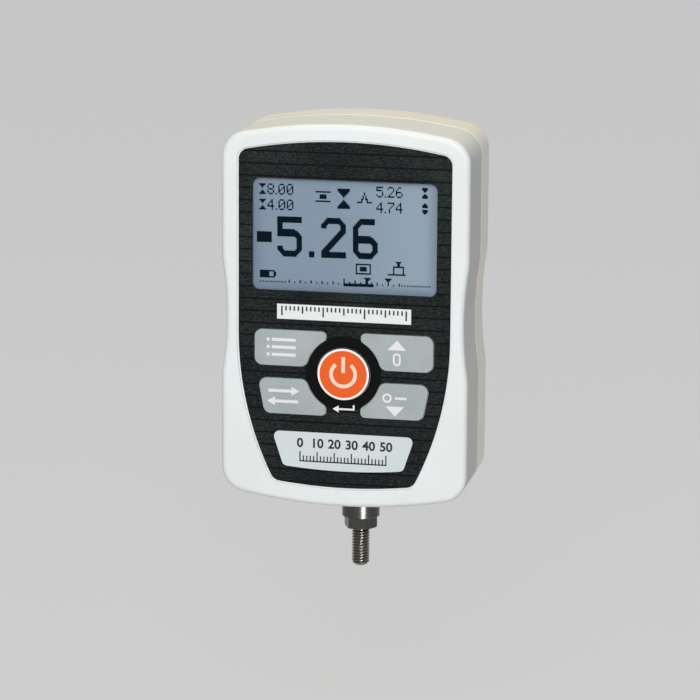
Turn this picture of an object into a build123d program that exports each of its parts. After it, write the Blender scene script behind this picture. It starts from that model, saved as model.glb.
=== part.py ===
from build123d import *
import math
import os

# Handheld digital force gauge, in millimetres. +X is to the right of someone reading the display,
# +Y points away from them and +Z points up, along the load line. The origin is the centre of the
# mounting holes on the back face, so every depth inside the gauge is negative.

# Housing: two castings that meet at a seam
body_width = 65.6
body_height = 101.6
body_depth = 32.0
front_depth = 18.8
end_radius = 140.0
corner_radius = 7.0
rim_radius = 1.5
back_edge_radius = 1.8
seam_bevel = 0.25
lip_thickness = 0.9
lip_height = 1.0
lip_root = 2.4
lip_clearance = 0.1
wall = 2.4
front_wall = 2.7
back_wall = 2.4

# Finger recess in each side
grip_depth = 1.25
grip_length = 30.4
grip_height = -0.5
grip_blend = 20.0

# Graphic overlay in a shallow recess of the front face, and the key sheets in a pocket behind it
overlay_border_side = 4.7
overlay_border_top = 4.6
overlay_border_bottom = 5.2
overlay_end_radius = 135.0
overlay_taper_start = -5.0
overlay_taper_radius = 86.5
overlay_corner = 2.8
overlay_recess = 0.3
overlay_thickness = 0.25
circuit_thickness = 0.3
recess_margin = 0.45
sheet_border = 1.5
sheet_top = 1.0
sheet_clearance = 0.15

# Display
window_border = 3.75
window_height = 29.6
window_centre = 21.4
window_corner = 2.0
window_seat = 0.8
display_depth = 5.9
display_margin_side = 1.65
display_margin_top = 2.0
display_contact_strip = 3.7
display_skin = 0.6
glass_thickness = 1.1
display_lip = 0.5
display_lip_clearance = 0.3
display_clearance = 0.2
display_tab_width = 4.0
display_tab_length = 0.6

# Keys
power_key_height = -14.9
power_key_radius = 7.0
key_disc_radius = 10.0
key_inner_edge = 4.6
key_border = 4.35
key_slant_top_border = 5.2
key_slant_bottom_border = 7.0
upper_key_top = -3.8
upper_key_bottom = -13.4
lower_key_top = -16.75
lower_key_bottom = -26.3
key_corner = 2.1
key_tip_corner = 1.3
key_proud = 0.4
key_edge_round = 0.2
key_ring_width = 0.5
key_ring_height = 0.05
key_clearance = 0.15
key_travel = 0.3
pressed_height = 0.15
dome_radius = 3.2
dome_top_radius = 1.2
dome_skin = 0.08
dome_gap = 0.05

# Label plate at the foot of the overlay
label_width_top = 38.2
label_width_bottom = 32.1
label_top = -30.95
label_bottom = -41.1
label_sag = 0.9
label_corner = 1.5
label_thickness = 0.12

# Main board and what it carries
board_side_gap = 1.25
board_top_gap = 2.4
board_bottom_gap = 10.4
board_thickness = 1.6
board_gap = 0.4
board_corner = 0.8
board_screw_side_upper = 18.0
board_screw_side_lower = 15.0
board_screw_edge = 3.4
board_post_radius = 2.8
board_screw_radius = 1.25
board_thread_length = 4.0
processor_size = 10.0
processor_place = (-2.0, -16.0)
memory_size = (7.0, 5.0)
memory_place = (2.0, -29.0)
converter_size = (12.0, 6.0)
converter_place = (4.0, -22.0)
regulator_size = 6.0
regulator_height = -12.0
capacitor_size = (1.6, 2.4)
capacitor_pitch = 4.0
capacitor_height = -6.0
chip_height = 1.6
buzzer_radius = 4.6
buzzer_height = 3.2
buzzer_level = -22.0
edge_part_inset = 8.8
buzzer_hole_radius = 0.8
tail_width = 10.0
tail_centre = 12.0
tail_height = -0.6
tail_slot_height = 1.2
socket_width = 14.0
socket_height = 3.2
socket_depth = 3.0

# Connectors in the left side
io_centre = -20.0
io_flange_length = 30.8
io_flange_width = 12.5
io_flange_thickness = 0.8
io_flange_inset = 3.8
io_shell_length = 16.8
io_shell_width = 8.4
io_shell_slope = 10.0
io_shell_corner = 1.6
io_shell_skin = 0.5
io_contact_pitch = 2.29
io_contact_radius = 0.5
io_body_length = 19.0
io_body_width = 10.0
io_body_depth = 7.5
io_post_spacing = 24.99
io_post_flats = 5.0
io_stud_radius = 1.4
io_stud_length = 1.0
io_thread_radius = 1.2
io_row_pitch = 1.98
io_contact_depth = 3.0
io_clearance = 0.3
usb_centre = 20.0
usb_width = 7.7
usb_height = 3.9
usb_length = 9.2
usb_skin = 0.35
usb_face_inset = 0.9
jack_centre = 33.6
jack_width = 8.4
jack_height = 7.0
jack_length = 10.4
jack_nose_radius = 3.2
jack_bore_radius = 2.75
jack_pin_radius = 1.0
jack_face_inset = 0.6
jack_shoulder_gap = 0.4
port_clearance = 0.3

# Battery and its strap
battery_jack_gap = 2.1
battery_height = 32.0
battery_depth = 14.4
battery_centre = 28.0
battery_gap = 0.3
battery_round = 2.0
strap_width = 8.0
strap_centre = 35.0
strap_thickness = 0.6
strap_foot = 6.2
strap_seat = 2.6
strap_screw_radius = 1.25

# Screws that join the housing halves
joint_screw_inset_side = 6.3
joint_screw_inset_end = 8.8
joint_post_radius = 3.4
joint_screw_radius = 1.5
joint_head_radius = 2.75
joint_head_height = 3.0
joint_head_depth = 3.4
joint_thread_length = 8.0
screw_clearance = 0.15
small_head_radius = 2.2
small_head_height = 1.6
small_driver = 1.1
large_driver = 1.4

# Mounting points in the back
mount_spacing_x = 46.0
mount_spacing_z = 50.0
mount_hole_radius = 2.05
mount_insert_radius = 4.0
mount_insert_length = 8.0
mount_boss_radius = 5.0
dowel_radius = 3.175
dowel_insert_radius = 7.0
dowel_insert_length = 8.0
dowel_boss_radius = 9.0
boss_floor = 1.4
rib_thickness = 1.6

# Load cell, an S-shaped flexure block
shaft_depth = 6.6
cell_width = 34.0
cell_height = 24.0
cell_thickness = 7.2
cell_top = -14.0
cell_arm = 5.0
cell_slot = 1.2
cell_slot_end = 8.5
cell_eye_radius = 3.2
cell_eye_spacing = 9.0
cell_screw_side = 11.0
cell_screw_radius = 1.5
cell_head_radius = 2.75
cell_head_height = 2.4

# Loading shaft
shaft_radius = 5.1
shaft_cylinder_length = 8.75
shaft_hexagon = 7.94
shaft_hexagon_length = 2.95
shaft_hexagon_turn = -5.0
shaft_relief_length = 0.7
shaft_relief_radius = 2.0
shaft_thread_radius = 2.413
shaft_thread_length = 9.9
shaft_tip_chamfer = 0.7
shaft_bevel = 0.3
shaft_stem_radius = 4.0
shaft_neck_radius = 2.8
shaft_clearance = 0.2
shaft_shoulder_height = 0.8

# Overload stop, a yoke in the shaft's groove
yoke_centre = -43.7
yoke_web = 3.0
yoke_gap = 0.3
yoke_width = 30.0
yoke_ear_width = 7.0
yoke_ear_height = 6.4
yoke_thickness = 8.0
yoke_slot_clearance = 0.4
yoke_screw_radius = 1.5
yoke_head_radius = 2.75
yoke_head_height = 2.2

# Depths of the main planes, all measured from the back face
spacer_thickness = key_travel + pressed_height
front = -body_depth
seam = front + front_depth
front_inside = front + front_wall
back_inside = -back_wall
overlay_front = front + overlay_recess
overlay_back = overlay_front + overlay_thickness
spacer_back = overlay_back + spacer_thickness
circuit_back = spacer_back + circuit_thickness
board_front = front_inside + display_depth
board_back = board_front + board_thickness
battery_back = back_inside - battery_gap
battery_front = battery_back - battery_depth
cell_back = -shaft_depth + cell_thickness / 2
cell_front = -shaft_depth - cell_thickness / 2
yoke_back = back_inside
yoke_front = yoke_back - yoke_thickness

# Width and ends of the housing, and what keeps its distance from them
left_side = -body_width / 2
body_top = body_height / 2
body_bottom = -body_height / 2
overlay_width = body_width - 2 * overlay_border_side
overlay_top = body_top - overlay_border_top
overlay_bottom = body_bottom + overlay_border_bottom
window_width = overlay_width - 2 * window_border
key_outer_edge = overlay_width / 2 - key_border
key_slant_top = overlay_width / 2 - key_slant_top_border
key_slant_bottom = overlay_width / 2 - key_slant_bottom_border
battery_width = body_width - 2 * (wall + jack_shoulder_gap + jack_length + battery_jack_gap)
board_width = body_width - 2 * (wall + grip_depth + board_side_gap)
board_top = body_top - wall - board_top_gap
board_bottom = body_bottom + wall + board_bottom_gap
joint_screw_side = body_width / 2 - joint_screw_inset_side
joint_screw_height = body_top - joint_screw_inset_end

# Heights along the load line, from the load cell down to the tip of the shaft
cell_bottom = cell_top - cell_height
groove_top = yoke_centre + yoke_web / 2 + yoke_gap
groove_bottom = yoke_centre - yoke_web / 2 - yoke_gap
shaft_shoulder = body_bottom + wall + shaft_shoulder_height
cylinder_end = body_bottom - shaft_cylinder_length
hexagon_end = cylinder_end - shaft_hexagon_length
relief_end = hexagon_end - shaft_relief_length
shaft_end = relief_end - shaft_thread_length

key_names = ("menu", "zero", "data", "mode", "power")
cut_margin = 1.0


def facing(depth):
    """Plane at a depth that looks to the front: its own x is +X and its own y is +Z."""
    return Plane(origin=(0, depth, 0), x_dir=(1, 0, 0), z_dir=(0, -1, 0))


def slab(sketch, near, far):
    """Solid with a front-view outline, from the nearer depth to the farther one."""
    return extrude(facing(far) * sketch, far - near, dir=(0, -1, 0))


def side_slab(sketch, outer, inner):
    """Solid with a left-side outline (own x is +Y, own y is +Z), between two places on X."""
    plane = Plane(origin=(outer, 0, 0), x_dir=(0, 1, 0), z_dir=(1, 0, 0))
    return extrude(plane * sketch, inner - outer, dir=(1, 0, 0))


def block(width, height, near, far, x=0.0, z=0.0):
    return slab(Pos(x, z) * Rectangle(width, height), near, far)


def post(radius, near, far, x=0.0, z=0.0):
    return slab(Pos(x, z) * Circle(radius), near, far)


def both_sides(shape):
    return shape + mirror(shape, Plane.YZ)


def four_corners(x, z):
    return [(x, z), (-x, z), (x, -z), (-x, -z)]


def socket_screw(shank_radius, length, head_radius, head_height, driver_radius):
    """Screw along its own Z with a hexagon socket; the underside of the head is at Z = 0."""
    head = Pos(0, 0, head_height / 2) * Cylinder(head_radius, head_height)
    shank = Pos(0, 0, -length / 2) * Cylinder(shank_radius, length)
    socket = extrude(Pos(0, 0, head_height * 0.4) * RegularPolygon(driver_radius, 6), head_height)
    return head + shank - socket


def facing_front(x, depth, z):
    """Location whose own Z points to the front."""
    return Location(Plane(origin=(x, depth, z), x_dir=(1, 0, 0), z_dir=(0, -1, 0)))


def facing_back(x, depth, z):
    return Location(Plane(origin=(x, depth, z), x_dir=(-1, 0, 0), z_dir=(0, 1, 0)))


def group(solids):
    return Compound(children=list(solids))


def arched(half_width, half_height, radius):
    """Upright rectangle whose top and bottom are shallow arcs."""
    outline = Rectangle(2 * half_width, 4 * half_height)
    for side in (1, -1):
        outline &= Pos(0, side * (half_height - radius)) * Circle(radius)
    return outline


def housing_outline(inset=0.0):
    """Front view of the housing, or the same outline moved inwards by an inset.

    Each arc keeps its centre, so every wall made from two of these has one thickness.
    """
    half_width = body_width / 2 - inset
    outline = arched(half_width, body_height / 2 - inset, end_radius - inset)
    outline = fillet(outline.vertices(), corner_radius - inset)
    grip_radius = (grip_length ** 2 / (4 * grip_depth) + grip_depth) / 2
    grip_centre = body_width / 2 - grip_depth + grip_radius
    grip = Pos(grip_centre, grip_height) * Circle(grip_radius + inset)
    outline -= both_sides(grip)
    reach = grip_length / 2 + 2 * inset + cut_margin
    beside = outline.vertices().filter_by(lambda v: abs(v.Y - grip_height) < reach)
    ends = beside.filter_by(lambda v: abs(v.X) > half_width - grip_depth / 2)
    return fillet(ends, grip_blend - inset)


def overlay_outline(inset=0.0):
    """Front view of the overlay: arched ends, straight sides, then a long curve inwards."""
    half_width = overlay_width / 2 - inset
    middle = (overlay_top + overlay_bottom) / 2
    half_height = (overlay_top - overlay_bottom) / 2 - inset
    outline = Pos(0, middle) * arched(half_width, half_height, overlay_end_radius - inset)
    curve_centre = overlay_width / 2 - overlay_taper_radius
    lens = Rectangle(2 * half_width, 2 * overlay_taper_radius)
    for side in (1, -1):
        lens &= Pos(side * curve_centre, 0) * Circle(overlay_taper_radius - inset)
    depth = overlay_taper_radius
    lower = Pos(0, overlay_taper_start) * (lens & Pos(0, -depth / 2) * Rectangle(2 * half_width, depth))
    upper = Pos(0, overlay_taper_start + depth / 2) * Rectangle(2 * half_width, depth)
    outline = outline & (lower + upper)
    ends = outline.vertices().filter_by(lambda v: abs(v.Y - middle) > half_height * 0.8)
    return fillet(ends, overlay_corner - inset)


def sheet_outline(inset=0.0):
    """Part of the overlay's outline that lies below the display, where the key sheets are."""
    depth = sheet_top - overlay_bottom
    below_display = Pos(0, sheet_top - inset - depth / 2) * Rectangle(overlay_width, depth)
    return overlay_outline(sheet_border + inset) & below_display


def window_outline(inset=0.0):
    size = (window_width - 2 * inset, window_height - 2 * inset)
    return Pos(0, window_centre) * RectangleRounded(*size, window_corner - inset / 2)


def display_outline(margin=0.0):
    """Outside of the display's frame, or a seat or an opening that is larger by a margin."""
    return Pos(0, display_centre) * Rectangle(display_width + 2 * margin, display_height + 2 * margin)


def function_key_outline(top, bottom, outer_top, outer_bottom):
    """Key to the right of the round one: four corners, with a bite that clears the round key."""
    corners = [(key_inner_edge, top), (outer_top, top), (outer_bottom, bottom), (key_inner_edge, bottom)]
    outline = make_face(Polyline(*corners, close=True))
    outline -= Pos(0, power_key_height) * Circle(key_disc_radius)
    tip = outline.vertices().filter_by(lambda v: abs(v.X - key_inner_edge) < 0.1)
    outline = fillet(tip, key_tip_corner)
    rest = outline.vertices().filter_by(lambda v: v.X > key_disc_radius - key_corner)
    return fillet(rest, key_corner)


def key_outline(name):
    if name == "power":
        return Pos(0, power_key_height) * Circle(power_key_radius)
    if name in ("menu", "zero"):
        outline = function_key_outline(upper_key_top, upper_key_bottom, key_outer_edge, key_outer_edge)
    else:
        outline = function_key_outline(lower_key_top, lower_key_bottom, key_slant_top, key_slant_bottom)
    return outline if name in ("zero", "mode") else mirror(outline, Plane.YZ)


def key_openings():
    holes = Sketch()
    for name in key_names:
        holes += offset(key_outline(name), key_clearance)
    return holes


def key_middle(name):
    """Where the dome under a key sits."""
    if name == "power":
        return 0.0, power_key_height
    side = 1 if name in ("zero", "mode") else -1
    middle_side = side * (key_disc_radius + key_outer_edge) / 2
    if name in ("menu", "zero"):
        return middle_side, (upper_key_top + upper_key_bottom) / 2
    return middle_side, (lower_key_top + lower_key_bottom) / 2


def d_outline(length, width, slope, corner):
    """Shell of a D connector on the left side: the side nearer the front is the longer one."""
    lean = width * math.tan(math.radians(slope))
    near, far = -width / 2, width / 2
    corners = [(near, -length / 2), (near, length / 2), (far, length / 2 - lean), (far, lean - length / 2)]
    return fillet(make_face(Polyline(*corners, close=True)).vertices(), corner)


io_depth = (board_front + board_back) / 2
io_flange_face = -body_width / 2 + io_flange_inset
usb_depth = board_back + usb_height / 2
jack_depth = board_back + jack_height / 2
display_width = window_width + 2 * display_margin_side
display_top = window_centre + window_height / 2 + display_margin_top
display_bottom = window_centre - window_height / 2 - display_contact_strip
display_height = display_top - display_bottom
display_centre = (display_top + display_bottom) / 2
joint_places = four_corners(joint_screw_side, joint_screw_height)
mount_places = four_corners(mount_spacing_x / 2, mount_spacing_z / 2)
upper_board_screw = (board_screw_side_upper, board_top - board_screw_edge)
lower_board_screw = (board_screw_side_lower, board_bottom + board_screw_edge)
board_places = [(side * x, z) for x, z in (upper_board_screw, lower_board_screw) for side in (1, -1)]
tab_places = [(side * display_width / 3, display_centre + end * (display_height - display_skin) / 2)
              for side in (1, -1) for end in (1, -1)]
strap_places = [(side * (battery_width / 2 + strap_foot / 2), strap_centre) for side in (1, -1)]
cell_places = [(side * cell_screw_side, cell_top - cell_arm / 2) for side in (1, -1)]
yoke_places = [(side * (yoke_width - yoke_ear_width) / 2, yoke_centre) for side in (1, -1)]


def left_ports():
    """Space for the data connector, the USB socket and the charger jack in the left wall."""
    outer, inner = left_side - cut_margin, left_side + 2 * wall + grip_depth
    shell = d_outline(io_shell_length, io_shell_width, io_shell_slope, io_shell_corner)
    ports = side_slab(Pos(io_depth, io_centre) * offset(shell, io_clearance), outer, inner)
    for side in (1, -1):
        place = Pos(io_depth, io_centre + side * io_post_spacing / 2)
        ports += side_slab(place * Circle(io_post_flats / 2 + 2 * io_clearance), outer, inner)
    usb = RectangleRounded(usb_height + 2 * port_clearance, usb_width + 2 * port_clearance, 1.0)
    ports += side_slab(Pos(usb_depth, usb_centre) * usb, outer, inner)
    jack = Circle(jack_nose_radius + port_clearance)
    return ports + side_slab(Pos(jack_depth, jack_centre) * jack, outer, inner)


def front_cover():
    """Front casting: rounded rim, sheet recess and pocket, display opening, posts for board and screws."""
    cover = slab(housing_outline(), front, seam)
    cover = fillet(cover.faces().sort_by(Axis.Y)[0].edges(), rim_radius)
    cover = chamfer(cover.faces().sort_by(Axis.Y)[-1].edges(), seam_bevel)
    cover -= slab(housing_outline(wall), front_inside, seam + cut_margin)
    cover -= slab(overlay_outline(-recess_margin), front - cut_margin, overlay_back)
    cover -= slab(sheet_outline(), front, circuit_back)
    cover -= slab(display_outline(window_seat + sheet_clearance), front, circuit_back)
    cover -= slab(display_outline(display_clearance), front, front_inside + cut_margin)
    slot = Pos(tail_centre, tail_height) * SlotOverall(tail_width + tail_slot_height, tail_slot_height)
    cover -= slab(slot, front, front_inside + cut_margin)
    for x, z in joint_places:
        cover += post(joint_post_radius, front_inside, seam, x, z)
    for x, z in board_places:
        cover += post(board_post_radius, front_inside, board_front, x, z)
    pad = Pos(io_depth, io_centre) * Rectangle(io_flange_width, io_flange_length)
    cover += side_slab(pad, left_side + wall / 2, io_flange_face)
    for x, z in joint_places:
        cover -= post(joint_screw_radius, seam - joint_thread_length - cut_margin, seam + cut_margin, x, z)
    for x, z in board_places:
        cover -= post(board_screw_radius, board_front - board_thread_length - board_gap,
                      board_front + cut_margin, x, z)
    return cover - left_ports()


def locating_lip():
    """Thin wall of the rear casting that reaches into the front one and lines the halves up."""
    inner = wall + lip_clearance + lip_thickness
    lip = slab(housing_outline(wall + lip_clearance) - housing_outline(inner), seam - lip_height, seam)
    lip += slab(housing_outline(wall / 2) - housing_outline(inner), seam, seam + lip_root)
    for x, z in joint_places:
        lip -= post(joint_post_radius + lip_clearance, seam - lip_height - cut_margin, seam, x, z)
    return lip


def rear_cover():
    """Rear casting: bosses for the mounting inserts, the dowel insert, the strap and the load cell."""
    cover = slab(housing_outline(), seam, 0)
    cover = fillet(cover.faces().sort_by(Axis.Y)[-1].edges(), back_edge_radius)
    cover = chamfer(cover.faces().sort_by(Axis.Y)[0].edges(), seam_bevel)
    cover -= slab(housing_outline(wall), seam - cut_margin, back_inside)
    cover += locating_lip()
    for x, z in joint_places:
        cover += post(joint_post_radius, seam, back_inside, x, z)
    for x, z in mount_places:
        cover += post(mount_boss_radius, -mount_insert_length - boss_floor, back_inside, x, z)
    cover += post(dowel_boss_radius, -dowel_insert_length - boss_floor, back_inside)
    for x, z in strap_places:
        cover += post(strap_foot / 2, back_inside - strap_seat, back_inside, x, z)
    cover += block(cell_width, cell_arm, cell_back, back_inside, 0, cell_top - cell_arm / 2)
    for x, z in mount_places:
        reach = body_width / 2 - abs(x) - wall / 2
        middle = math.copysign(abs(x) + reach / 2, x)
        cover += block(reach, rib_thickness, -mount_insert_length, back_inside, middle, z)
    for side in (1, -1):
        reach = mount_spacing_z / 2
        cover += both_sides(block(rib_thickness, reach, -dowel_insert_length / 2, back_inside,
                                  mount_spacing_x / 2, side * reach / 2))
    reach = mount_spacing_x / 2
    cover += both_sides(block(reach, rib_thickness, -dowel_insert_length / 2, back_inside, reach / 2, 0))
    return cover - rear_cuts()


def rear_cuts():
    """Holes of the rear casting, from the insert seats to the bore that the shaft leaves by."""
    cuts = post(dowel_insert_radius, -dowel_insert_length, cut_margin)
    for x, z in mount_places:
        cuts += post(mount_insert_radius, -mount_insert_length, cut_margin, x, z)
    for x, z in joint_places:
        cuts += post(joint_screw_radius + screw_clearance, seam - cut_margin, cut_margin, x, z)
        cuts += post(joint_head_radius + 2 * screw_clearance, -joint_head_depth, cut_margin, x, z)
    for x, z in strap_places:
        cuts += post(strap_screw_radius, back_inside - strap_seat - cut_margin, -boss_floor, x, z)
    for x, z in cell_places:
        cuts += post(cell_screw_radius, cell_back - cut_margin, -boss_floor / 2, x, z)
    for x, z in yoke_places:
        cuts += post(yoke_screw_radius, yoke_back - cut_margin, -boss_floor / 2, x, z)
    bore_top = shaft_shoulder + 2 * yoke_gap
    bore = Cylinder(shaft_radius + shaft_clearance, bore_top - body_bottom + cut_margin,
                    align=(Align.CENTER, Align.CENTER, Align.MAX))
    return cuts + Pos(0, -shaft_depth, bore_top) * bore


def graphic_overlay():
    """Printed sheet with openings for the window and the keys; its edge lies on the recess floor."""
    sheet = overlay_outline() - window_outline() - key_openings()
    return slab(sheet, overlay_front, overlay_back)


def display_window():
    """Clear plate behind the overlay, seated on the rim of the display opening."""
    return slab(display_outline(window_seat), overlay_back, circuit_back)


def key_spacer():
    """Sheet that holds the domes at their height, with an opening for each key."""
    return slab(sheet_outline(sheet_clearance) - key_openings(), overlay_back, spacer_back)


def keypad_circuit():
    """Switch sheet under the domes, with a tail that runs back to its socket on the board."""
    sheet = slab(sheet_outline(sheet_clearance), spacer_back, circuit_back)
    reach = board_front - socket_depth * 0.6
    return sheet + block(tail_width, circuit_thickness, circuit_back, reach, tail_centre, tail_height)


def key(name):
    """Embossed key with its back on the snap dome; the power key has a raised ring at its edge."""
    face = overlay_front - key_proud
    pad = slab(key_outline(name), face, overlay_back)
    pad = fillet(pad.faces().sort_by(Axis.Y)[0].edges(), key_edge_round)
    if name != "power":
        return pad
    rim = key_outline(name)
    rim = offset(rim, -key_edge_round) - offset(rim, -key_edge_round - key_ring_width)
    return pad + slab(rim, face - key_ring_height, face)


def snap_dome(name):
    """Spring-steel snap dome: a flat top on a conical skirt that fills the height of the spacer."""
    rise = spacer_thickness - dome_gap
    x, z = key_middle(name)
    skirt = [(dome_radius, 0), (dome_top_radius, rise), (0, rise)]
    underside = [(0, rise - dome_skin), (dome_top_radius, rise - dome_skin), (dome_radius - dome_skin, 0)]
    dome = revolve(Plane.XZ * make_face(Polyline(*skirt, *underside, close=True)), Axis.Z)
    return facing_front(x, spacer_back, z) * dome


def label_plate():
    top, bottom = label_top, label_bottom + label_sag
    half_top, half_bottom = label_width_top / 2, label_width_bottom / 2
    sides = Polyline((-half_bottom, bottom), (-half_top, top), (half_top, top), (half_bottom, bottom))
    foot = ThreePointArc((half_bottom, bottom), (0, label_bottom), (-half_bottom, bottom))
    outline = make_face(sides + foot)
    outline = fillet(outline.vertices(), label_corner)
    return slab(outline, overlay_front - label_thickness, overlay_front)


def display_frame():
    """Frame round the glass and the backlight, with tabs through the board."""
    frame = slab(display_outline(), circuit_back, board_front)
    frame -= slab(display_outline(-display_skin), circuit_back + display_lip, board_front + cut_margin)
    frame -= slab(window_outline(-display_lip_clearance), circuit_back - cut_margin, board_front)
    for x, z in tab_places:
        frame += block(display_tab_width, display_skin, board_front - display_tab_length,
                       board_back + display_tab_length, x, z)
    return frame


def display_glass():
    """Two bonded panes: the rear one is longer, which leaves the contact strip open."""
    outline = display_outline(-display_skin - display_clearance)
    open_strip = display_contact_strip / 2
    front_pane = Pos(0, open_strip) * (outline & Pos(0, -2 * open_strip) * outline)
    glass_front = circuit_back + display_lip
    middle = glass_front + glass_thickness
    glass = slab(Pos(0, open_strip) * front_pane, glass_front, middle)
    return glass + slab(outline, middle, middle + glass_thickness)


def backlight():
    outline = display_outline(-display_skin - display_clearance)
    return slab(outline, circuit_back + display_lip + 2 * glass_thickness, board_front)


def main_board():
    """Board with notched top corners, a bay for the data connector and slots for the frame's tabs."""
    height = board_top - board_bottom
    middle = (board_top + board_bottom) / 2
    outline = Pos(0, middle) * Rectangle(board_width, height)
    inner = joint_screw_side - joint_post_radius - board_gap
    low = joint_screw_height - joint_post_radius - board_gap
    notch = Rectangle(2 * corner_radius, 2 * corner_radius)
    outline -= both_sides(Pos(inner + corner_radius, low + corner_radius) * notch)
    bay_end = io_flange_face + io_flange_thickness + io_body_depth + board_gap
    bay_width = bay_end + board_width / 2
    bay = Rectangle(bay_width, io_body_length + 2 * board_gap)
    outline -= Pos(bay_end - bay_width / 2, io_centre) * bay
    outline = fillet(outline.vertices(), board_corner)
    for x, z in board_places:
        outline -= Pos(x, z) * Circle(board_screw_radius + screw_clearance)
    tab_slot = Rectangle(display_tab_width + 2 * display_clearance, display_skin + 2 * display_clearance)
    for x, z in tab_places:
        outline -= Pos(x, z) * tab_slot
    return slab(outline, board_front, board_back)


def board_chips():
    """Chips on both faces of the board: processor, converter, regulator and a row of capacitors."""
    near, far = board_front - chip_height, board_back + chip_height
    chips = [block(processor_size, processor_size, near, board_front, *processor_place)]
    chips.append(block(*memory_size, near, board_front, *memory_place))
    chips.append(block(*converter_size, board_back, far, *converter_place))
    edge_place = board_width / 2 - edge_part_inset
    chips.append(block(regulator_size, regulator_size, board_back, far, edge_place, regulator_height))
    for step in range(4):
        place = (step * capacitor_pitch, capacitor_height)
        chips.append(block(*capacitor_size, board_back, far, *place))
    return group(chips)


def buzzer():
    face = board_front - buzzer_height
    place = (board_width / 2 - edge_part_inset, buzzer_level)
    body = post(buzzer_radius, face, board_front, *place)
    return body - post(buzzer_hole_radius, face - cut_margin, board_front - cut_margin, *place)


def tail_socket():
    """Upright socket that the keypad tail plugs into."""
    face = board_front - socket_depth
    middle = face + socket_depth / 2
    body = block(socket_width, socket_height, face, board_front, tail_centre, tail_height)
    slot_width, slot_height = tail_width + 2 * display_clearance, circuit_thickness + display_clearance
    return body - block(slot_width, slot_height, face - cut_margin, middle, tail_centre, tail_height)


def io_connector():
    """15-contact data connector: flange against its pad, D shell in the wall, body in the board's bay."""
    centre = Pos(io_depth, io_centre)
    face = io_flange_face
    flange_outline = centre * RectangleRounded(io_flange_width, io_flange_length, 1.0)
    stud_hole = Circle(io_stud_radius + screw_clearance)
    for side in (1, -1):
        flange_outline -= centre * Pos(0, side * io_post_spacing / 2) * stud_hole
    connector = side_slab(flange_outline, face, face + io_flange_thickness)
    shell = d_outline(io_shell_length, io_shell_width, io_shell_slope, io_shell_corner)
    connector += side_slab(centre * shell, left_side + 0.4, face)
    body = centre * Rectangle(io_body_width, io_body_length)
    body_start = face + io_flange_thickness
    connector += side_slab(body, body_start, body_start + io_body_depth)
    lip = centre * (shell - offset(shell, -io_shell_skin))
    connector += side_slab(lip, left_side + 0.2, left_side + 0.4)
    for row in (-1, 0, 1):
        for step in range(-2, 3):
            z = io_centre + (step + 0.25 * row) * io_contact_pitch
            hole = Pos(io_depth + row * io_row_pitch, z) * Circle(io_contact_radius)
            connector -= side_slab(hole, left_side, left_side + io_contact_depth)
    return connector


def io_posts():
    """Two hexagonal jack posts that hold the data connector's flange to its pad."""
    posts = []
    for side in (1, -1):
        place = Pos(io_depth, io_centre + side * io_post_spacing / 2)
        head = side_slab(place * RegularPolygon(io_post_flats / 2, 6, major_radius=False), left_side + 0.2,
                         io_flange_face)
        stud = side_slab(place * Circle(io_stud_radius), io_flange_face, io_flange_face + io_stud_length)
        threads = side_slab(place * Circle(io_thread_radius), left_side, io_flange_face - io_stud_length)
        posts.append(head + stud - threads)
    return group(posts)


def usb_socket():
    outer = RectangleRounded(usb_height, usb_width, 0.8)
    inner = RectangleRounded(usb_height - 2 * usb_skin, usb_width - 2 * usb_skin, 0.5)
    place = Pos(usb_depth, usb_centre)
    face = left_side + usb_face_inset
    socket = side_slab(place * outer, face, face + usb_length)
    socket -= side_slab(place * inner, face - 1, face + usb_length - 1.5)
    tongue = place * Rectangle(0.9, usb_width * 0.6)
    return socket + side_slab(tongue, face + 1.0, face + usb_length - 1.0)


def power_jack():
    """Charger jack: block on the board, round nose in the wall, centre pin in the bore."""
    place = Pos(jack_depth, jack_centre)
    shoulder = left_side + wall + jack_shoulder_gap
    jack = side_slab(place * Rectangle(jack_height, jack_width), shoulder, shoulder + jack_length)
    face = left_side + jack_face_inset
    jack += side_slab(place * Circle(jack_nose_radius), face, shoulder)
    jack -= side_slab(place * Circle(jack_bore_radius), face - 1, shoulder + jack_length - 2.0)
    return jack + side_slab(place * Circle(jack_pin_radius), face + 1.0, shoulder + jack_length - 1.5)


def battery_pack():
    pack = block(battery_width, battery_height, battery_front, battery_back, 0, battery_centre)
    return fillet(pack.edges().filter_by(Axis.Y), battery_round)


def battery_strap():
    """Sheet-metal strap over the pack, with a foot on each side."""
    half = battery_width / 2
    foot_back = back_inside - strap_seat
    outside = block(2 * (half + strap_thickness), strap_width, battery_front - strap_thickness, foot_back,
                    0, strap_centre)
    inside = block(2 * half, strap_width + 2, battery_front, foot_back + 1, 0, strap_centre)
    strap = outside - inside
    for x, z in strap_places:
        strap += block(strap_foot, strap_width, foot_back - strap_thickness, foot_back, x, z)
    for x, z in strap_places:
        strap -= post(strap_screw_radius + screw_clearance, foot_back - 2, foot_back + 1, x, z)
    return strap


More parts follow.
